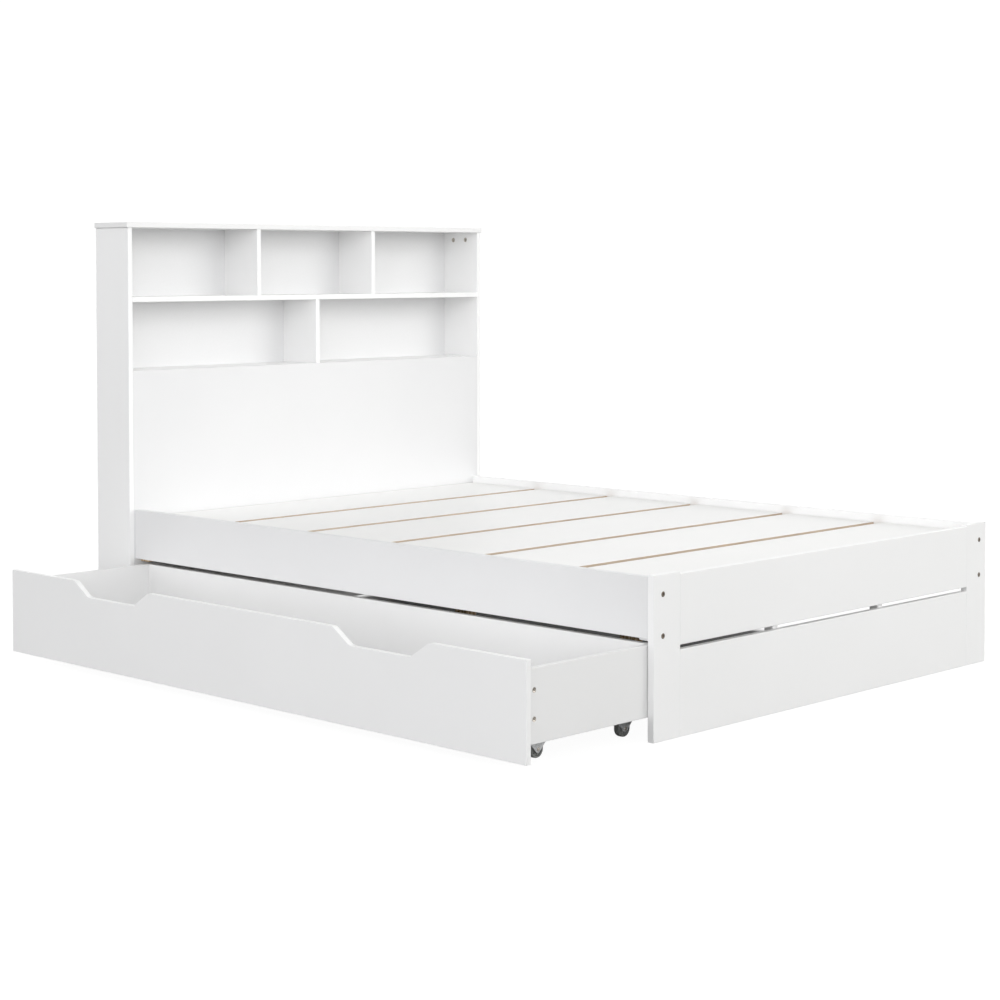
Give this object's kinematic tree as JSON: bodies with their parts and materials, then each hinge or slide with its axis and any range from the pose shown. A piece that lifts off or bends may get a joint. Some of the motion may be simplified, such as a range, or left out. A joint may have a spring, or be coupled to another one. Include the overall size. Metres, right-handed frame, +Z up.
{
  "type": "bed frame",
  "caption": "Double bed frame of white boards with a bookcase headboard, a slatted base and a long storage drawer that rolls out from one side on castors.",
  "frame": {"origin": "on the floor under the middle of the whole bed's bounding box, with the drawer part way out as at rest", "axes": "+Z up from the floor, +Y along the bed from foot to head, +X across the bed away from the side that the drawer comes out of"},
  "size_m": [1.868, 2.094, 1.21],
  "materials": {
    "white_board": "satin white painted board",
    "slat_board": "white faced board with raw brown edges",
    "raw_batten": "planed raw pine",
    "white_hardboard": "white faced hardboard",
    "zinc_steel": "zinc plated steel",
    "bronze_steel": "dark bronze plated steel",
    "yellow_zinc": "yellow zinc plated screws",
    "castor_rubber": "dark grey wheel",
    "beech_dowel": "fluted beech"
  },
  "bodies": {
    "bed_frame": {"barrel_nuts": "zinc_steel", "beam_hangers": "zinc_steel", "centre_beam": "raw_batten", "centre_leg_foot": "raw_batten", "centre_leg_head": "raw_batten", "cleat_screws": "yellow_zinc", "corner_bolts": "bronze_steel", "foot_block_left": "white_board", "foot_block_right": "white_board", "foot_cleat_left": "white_board", "foot_cleat_right": "white_board", "foot_leg_left": "white_board", "foot_leg_right": "white_board", "foot_lower_board": "white_board", "foot_upper_board": "white_board", "head_block_left": "raw_batten", "head_block_right": "raw_batten", "headboard_back_panel": "white_hardboard", "headboard_cam_locks": "bronze_steel", "headboard_divider_left": "white_board", "headboard_divider_lower": "white_board", "headboard_divider_right": "white_board", "headboard_dowels": "beech_dowel", "headboard_front_panel": "white_board", "headboard_lower_shelf": "white_board", "headboard_middle_shelf": "white_board", "headboard_side_left": "white_board", "headboard_side_right": "white_board", "headboard_stretcher": "raw_batten", "headboard_top": "white_board", "rail_screws": "yellow_zinc", "side_rail_left": "white_board", "side_rail_right": "white_board", "slat_1": "slat_board", "slat_2": "slat_board", "slat_3": "slat_board", "slat_4": "slat_board", "slat_5": "slat_board", "slat_6": "slat_board", "slat_ledge_left": "raw_batten", "slat_ledge_right": "raw_batten"},
    "drawer": {"castor_axles": "zinc_steel", "castor_forks": "zinc_steel", "castor_screws": "zinc_steel", "drawer_back": "white_board", "drawer_back_screws": "bronze_steel", "drawer_bearer_foot": "raw_batten", "drawer_bearer_head": "raw_batten", "drawer_bearer_middle": "raw_batten", "drawer_bottom_foot": "white_hardboard", "drawer_bottom_head": "white_hardboard", "drawer_cam_locks": "bronze_steel", "drawer_front": "white_board", "drawer_side_foot": "white_board", "drawer_side_head": "white_board"},
    "wheel_front_foot": {"castor_wheel_front_foot": "castor_rubber"},
    "wheel_front_head": {"castor_wheel_front_head": "castor_rubber"},
    "wheel_rear_foot": {"castor_wheel_rear_foot": "castor_rubber"},
    "wheel_rear_head": {"castor_wheel_rear_head": "castor_rubber"}
  },
  "joints": [
    {"name": "drawer_slide", "type": "slide", "parent": "bed_frame", "child": "drawer", "axis": [-1, 0, 0], "range_m": [-0.407, 0.25]},
    {"name": "wheel_front_foot_spin", "type": "hinge", "parent": "drawer", "child": "wheel_front_foot", "pos_m": [-0.801, -0.948, 0.02], "axis": [0, -1, 0], "continuous": true},
    {"name": "wheel_front_head_spin", "type": "hinge", "parent": "drawer", "child": "wheel_front_head", "pos_m": [-0.801, 0.782, 0.02], "axis": [0, -1, 0], "continuous": true},
    {"name": "wheel_rear_foot_spin", "type": "hinge", "parent": "drawer", "child": "wheel_rear_foot", "pos_m": [-0.505, -0.948, 0.02], "axis": [0, -1, 0], "continuous": true},
    {"name": "wheel_rear_head_spin", "type": "hinge", "parent": "drawer", "child": "wheel_rear_head", "pos_m": [-0.505, 0.782, 0.02], "axis": [0, -1, 0], "continuous": true}
  ],
  "couplings": [
    {"joint": "wheel_front_foot_spin", "follows": "drawer_slide", "rad_per_m": 50},
    {"joint": "wheel_front_head_spin", "follows": "drawer_slide", "rad_per_m": 50},
    {"joint": "wheel_rear_foot_spin", "follows": "drawer_slide", "rad_per_m": 50},
    {"joint": "wheel_rear_head_spin", "follows": "drawer_slide", "rad_per_m": 50}
  ]
}
